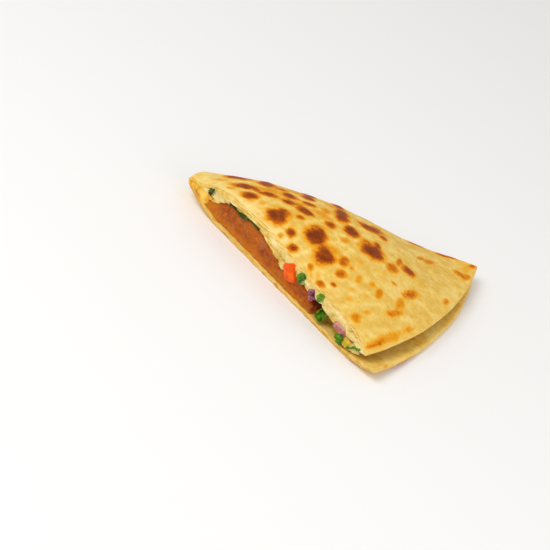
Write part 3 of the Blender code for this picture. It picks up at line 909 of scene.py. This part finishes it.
def makeCheesePieces():
    paint = cheesePaint()
    points, quads = makeCheese()
    makePiece("meltedCheese", points, quads, paint, "melted_cheese")
    parts = []
    rows = (("front", front, 0), ("back", back, 0), ("golden", front, 1), ("golden", back, 1))
    for label, side, gold in rows:
        for number, (along, deep, height, *size) in enumerate(cheeseLumps[label]):
            ball, ballQuads = ballPart((along, deep, height), size, number + 60, 0.12 - 0.06 * gold, 14)
            parts.append((*ontoCut(side, ball, ballQuads), np.full(len(ball), gold)))
    points, quads, values = joinParts(parts)
    makePiece("cheeseLumps", points, quads, paint, "melted_cheese", {"gold": values})


makePatty()
makeEgg()
makeCheesePieces()
print("layers made")


# Diced vegetables at the cuts

def turned(degrees, axis):
    c, s = math.cos(math.radians(degrees)), math.sin(math.radians(degrees))
    i, j = (axis + 1) % 3, (axis + 2) % 3
    matrix = np.eye(3)
    matrix[i, i], matrix[i, j], matrix[j, i], matrix[j, j] = c, -s, s, c
    return matrix


dicing = {
    "divisions": (16, 16, 16),
    "rounding": 0.58,
    "cornerShift": 0.13,
    "unevenness": 0.1,
}


def dicePart(side, place, size, turn, seed):
    # a hand-cut dice: a box with its corners moved a little and its edges rounded, then turned
    grid, quads, _ = boxSurface(dicing["divisions"])
    cube = 2 * grid - 1
    core = np.clip(cube, dicing["rounding"] - 1, 1 - dicing["rounding"])
    outer = cube - core
    length = np.linalg.norm(outer, axis=1, keepdims=True)
    shape = core + outer / np.maximum(length, 1e-9) * np.abs(outer).max(axis=1, keepdims=True)
    rng = np.random.default_rng(wedge["seed"] + seed)
    shifts = rng.uniform(-dicing["cornerShift"], dicing["cornerShift"], (2, 2, 2, 3))
    inside = (shape + 1) / 2
    pull = sum(cornerShare(corner, inside)[:, None] * shifts[tuple(corner)] for corner in boxCorners)
    shape = (shape + pull) * np.array(size) / 2
    waves = np.stack([grain(shape, 1.6, seed + axis) for axis in range(3)], axis=-1)
    shape += dicing["unevenness"] * waves
    lean, roll, yaw = (turned(degrees, axis) for axis, degrees in enumerate(turn))
    return *ontoCut(side, shape @ (lean @ roll @ yaw).T + np.array(place), quads), shape


def glossyPaint(paint, sizes, stops, stain, roughness):
    # three depths of one colour in spots of two sizes, and another where the piece's value is high
    coarse, fine = paint.noise(sizes[0]), paint.noise(sizes[1], 3, 0.6)
    value, share, colour = stain
    body = paint.blend(paint.ramp(coarse * 0.6 + fine * 0.4, *stops), (paint.read(value) * share, colour))
    return paint.finish(body, roughness + fine * 0.15, ((fine, 0.25), (coarse, 0.35)), 0.25)


def tomatoPaint():
    paint = Paint("dicedTomato", shine=0.12, light=0.1)
    stops = (0.3, 228, 66, 0), (0.5, 245, 97, 0), (0.7, 252, 130, 10)
    return glossyPaint(paint, (3.0, 0.8), stops, ("skin", 0.6, (220, 58, 0)), 0.22)


def pepperPaint():
    # dark glossy skin and paler flesh on the cut side
    paint = Paint("dicedGreenPepper", shine=0.2, light=0.12, coat=0.05)
    stops = (0.36, 34, 70, 0), (0.5, 74, 120, 0), (0.64, 132, 170, 16)
    return glossyPaint(paint, (2.4, 0.7), stops, ("flesh", 0.7, (176, 196, 110)), 0.25)


def onionPaint(name, deep, middle, light):
    # onion: thin layers that show as lines of lighter and darker colour
    paint = Paint(name, shine=0.25, light=0.25, depth=1.5, coat=0.08)
    layers = paint.noise(1.1, 2, 0.5, (1, 0.4, 2.2))
    coarse = paint.noise(3.0, 2, 0.5)
    body = paint.ramp(layers * 0.55 + coarse * 0.45, (0.34, *deep), (0.5, *middle), (0.66, *light))
    body = paint.blend(body, (paint.read("skin") * 0.6, light))
    return paint.finish(body, 0.24 + coarse * 0.12, ((layers, 0.4),), 0.25)


def yellowPepperPaint():
    paint = Paint("dicedYellowPepper", shine=0.2, light=0.25, depth=1.5, coat=0.05)
    coarse = paint.noise(2.4)
    body = paint.ramp(coarse, (0.3, 178, 148, 14), (0.5, 214, 178, 38), (0.7, 238, 206, 84))
    return paint.finish(body, 0.26 + coarse * 0.1, ((coarse, 0.4),), 0.25)


finishes = {
    "tomato": tomatoPaint(),
    "green_pepper": pepperPaint(),
    "purple_onion": onionPaint("purpleOnion", (78, 12, 26), (122, 42, 58), (178, 124, 146)),
    "pink_onion": onionPaint("pinkOnion", (150, 74, 74), (186, 112, 100), (216, 164, 146)),
    "pale_onion": onionPaint("paleOnion", (226, 186, 96), (240, 214, 142), (250, 236, 190)),
    "yellow_pepper": yellowPepperPaint(),
}

# Node, cut, place and size (along, deep, high), turns in degrees about those three, finish
diced = (
    ("tomato_front", front, (68.2, 0.4, 10.3), (6.4, 3.2, 7.6), (6, -30, 0), "tomato"),
    ("pepper_front_1", front, (75.2, -0.2, 12.2), (3.6, 2.4, 4.2), (10, -30, 8), "green_pepper"),
    ("onion_front_purple", front, (82.6, 0.0, 10.0), (3.2, 2.6, 4.4), (8, -24, -8), "purple_onion"),
    ("pepper_front_2", front, (87.4, 0.0, 12.0), (3.5, 2.4, 3.1), (10, -24, 12), "green_pepper"),
    ("onion_front_pink", front, (101.2, 0.2, 7.9), (6.6, 2.5, 3.5), (6, 4, 0), "pink_onion"),
    ("yellow_pepper_front", front, (106.0, 1.2, 4.6), (5.8, 2.4, 3.8), (0, 14, 8), "yellow_pepper"),
    ("onion_front_pale", front, (10.8, 1.2, 6.9), (2.3, 2.0, 2.4), (0, -15, 0), "pale_onion"),
    ("tomato_back", back, (49.0, 1.4, 8.6), (5.0, 3.4, 3.4), (8, 6, 8), "tomato"),
    ("pepper_back_1", back, (36.0, 0.9, 8.9), (3.6, 2.8, 3.0), (14, -12, -10), "green_pepper"),
    ("onion_back_purple", back, (61.0, 0.9, 7.9), (3.8, 2.8, 2.9), (6, -10, 6), "purple_onion"),
    ("pepper_back_2", back, (73.0, 0.9, 6.4), (4.0, 2.8, 2.6), (12, 8, 12), "green_pepper"),
    ("onion_back_pink", back, (26.0, 0.9, 8.7), (4.2, 2.6, 2.4), (4, -4, 4), "pink_onion"),
)


def makeDiced():
    for node, side, place, size, turn, finish in diced:
        seed = sum(map(ord, node))
        points, quads, shape = dicePart(side, place, size, turn, seed)
        relative = shape / (np.array(size) / 2)
        values = {
            "skin": smooth(0.75, 1.0, relative[:, 2]),
            "flesh": smooth(0.2, 0.9, 0.6 * relative[:, 0] - relative[:, 2] - 0.3),
        }
        makePiece(node + "_dice", points, quads, finishes[finish], node, values)


makeDiced()
print("diced vegetables made")


# Coriander

def leafPaint(name, deep, middle, light):
    # coriander: green of three depths, with paler veins
    paint = Paint(name, shine=0.15, light=0.1, depth=0.8, coat=0.04)
    coarse = paint.noise(2.2)
    fine = paint.noise(0.6, 3, 0.6)
    body = paint.ramp(coarse * 0.6 + fine * 0.4, (0.36, *deep), (0.5, *middle), (0.64, *light))
    body = paint.blend(body, (paint.read("vein") * 0.5, light))
    return paint.finish(body, 0.38 + fine * 0.15, ((fine, 0.3), (paint.read("vein"), 0.6)), 0.2)


leafThickness = 0.32


def leafPart(side, tip, stem, width, face, lobes, wave, shape="leaf", counts=(44, 24)):
    # a thin leaf from stem to tip: its width swells and is cut into lobes, and it waves both ways
    tip, stem, face = (np.array(p, float) for p in (tip, stem, face))
    length = tip - stem
    sideways = unit(np.cross(length, face))
    upright = unit(np.cross(sideways, length))
    grid, quads, _ = boxSurface((*counts, 2))
    u, v, w = grid.T
    v = 2 * v - 1
    if shape == "fan":
        outline = (1 - u) ** 0.7 * (0.35 + 0.65 * smooth(0, 0.12, u))
    elif shape == "strip":
        outline = 0.12 + 0.88 * np.abs(np.sin(math.pi * (2.5 * u + 0.25))) ** 0.8
    else:
        outline = 0.22 + 0.78 * np.sin(math.pi * np.minimum(u, 0.88) ** 0.8)
    cuts = 1 + 0.28 * np.cos(2 * math.pi * lobes * u) * np.abs(v)
    spine = 0.3 * width * np.sin(2.4 * u + 0.4) + (shape == "strip") * 1.6 * width * np.sin(9 * u)
    rise = wave * width * (np.sin(7 * u + 3 * v) * 0.5 + v * v) - (w - 0.5) * leafThickness
    veinLines = np.abs(np.sin(math.pi * (lobes * u - 0.5 * np.abs(v) * lobes)))
    vein = np.maximum(np.exp(-(v / 0.09) ** 2), 0.7 * np.exp(-(veinLines / 0.16) ** 2))
    spot = stem + length * u[:, None] + sideways * (width / 2 * outline * cuts * v + spine * 0.2)[:, None]
    spot = spot + upright * rise[:, None]
    return *ontoCut(side, spot, quads), vein


def sprigPart(place, size, seed):
    # a crumpled sprig: seven small leaves turned every way round its middle
    rng = np.random.default_rng(wedge["seed"] + seed)
    parts = []
    for _ in range(7):
        way = unit(rng.normal(size=3))
        face = rng.normal(size=3) + np.array([0, -1.5, 0.5])
        start = np.array(place) - way * np.array(size) * 0.28
        end = np.array(place) + way * np.array(size) * 0.42
        parts.append(leafPart(front, end, start, 0.62 * max(size), face, 3, 0.22, counts=(26, 16)))
    middle, quads = ballPart(place, np.array(size) * 0.62, seed, 0.35, 10)
    parts.append((*ontoCut(front, middle, quads), np.zeros(len(middle))))
    return joinParts(parts)


# Node, colour, cut, tip and stem (along, deep, height), width, which way it faces, lobes, wave, shape
leaves = (
    ("coriander_front_tip", "dark",
     front, (16.8, -0.6, 13.2), (13.4, 0.0, 10.2), 2.6, (0, -1, 0.2), 3, 0.12, "leaf"),
    ("coriander_front_strip", "dark",
     front, (25.0, 0.0, 13.2), (46.0, 0.0, 14.6), 1.5, (0, -1, 0.5), 9, 0.16, "strip"),
    ("coriander_front_leaf", "fresh",
     front, (104.8, -0.6, 3.2), (102.6, -0.9, 6.8), 5.6, (0, -1, 0.1), 3, 0.10, "fan"),
    ("coriander_front_sliver", "fresh",
     front, (113.6, 0.1, 7.6), (107.4, -0.3, 4.2), 1.2, (0, -0.6, 1), 5, 0.14, "strip"),
    ("coriander_back_leaf", "dark",
     back, (95.0, 1.0, 3.2), (89.0, 1.2, 3.5), 3.0, (0, -0.5, 1), 3, 0.14, "leaf"),
)


def makeHerbs():
    greens = {
        "fresh": leafPaint("freshCoriander", (34, 66, 0), (78, 124, 4), (128, 176, 32)),
        # darker greens for the tip, the strip and the back leaf
        "dark": leafPaint("darkCoriander", (20, 32, 2), (46, 68, 4), (100, 118, 40)),
    }
    for node, green, *form in leaves:
        points, quads, vein = leafPart(*form)
        makePiece(node + "_leaf", points, quads, greens[green], node, {"vein": vein})
    points, quads, vein = sprigPart((89.4, 1.2, 5.0), (6.2, 3.4, 5.6), 5)
    node = "coriander_front_sprig"
    makePiece("sprigLeaves", points, quads, greens["fresh"], node, {"vein": vein})


makeHerbs()
print("coriander made")


# Floor and light

studio = {
    "floorSize": 3.0,
    "floorShade": (0.95, 0.94, 0.93),
    "worldColour": (1, 0.99, 0.975, 1),
    "worldStrength": 0.62,
    "keyPower": 4.0,
    "keySize": 0.6,
    "keyPlace": (-0.35, -0.45, 0.75),
    "fillPower": 2.2,
    "fillPlace": (0.75, -0.45, 0.22),
}


def softLight(name, power, size, place):
    lamp = bpy.data.lights.new(name, "AREA")
    lamp.energy = power
    lamp.size = size
    away = unit(np.array(place))
    right = unit(np.cross([0, 0, 1], away))
    stand(newObject(name, lamp), (right, np.cross(away, right), away), place)


def makeStudio():
    half = studio["floorSize"] / 2
    mesh = bpy.data.meshes.new("floor")
    corners = [(-half, -half, 0), (half, -half, 0), (half, half, 0), (-half, half, 0)]
    mesh.from_pydata(corners, [], [(0, 1, 2, 3)])
    mesh.materials.append(Paint("paleFloor", shine=0.1).finish((*studio["floorShade"], 1), 0.9))
    floor = newObject("floor", mesh)
    world = bpy.data.worlds.new("studio")
    world.use_nodes = True
    background = world.node_tree.nodes["Background"]
    background.inputs["Color"].default_value = studio["worldColour"]
    background.inputs["Strength"].default_value = studio["worldStrength"]
    bpy.context.scene.world = world
    softLight("key", studio["keyPower"], studio["keySize"], studio["keyPlace"])
    softLight("fill", studio["fillPower"], studio["keySize"], studio["fillPlace"])
    bpy.context.scene.view_settings.view_transform = "Standard"


makeStudio()
print("studio made")
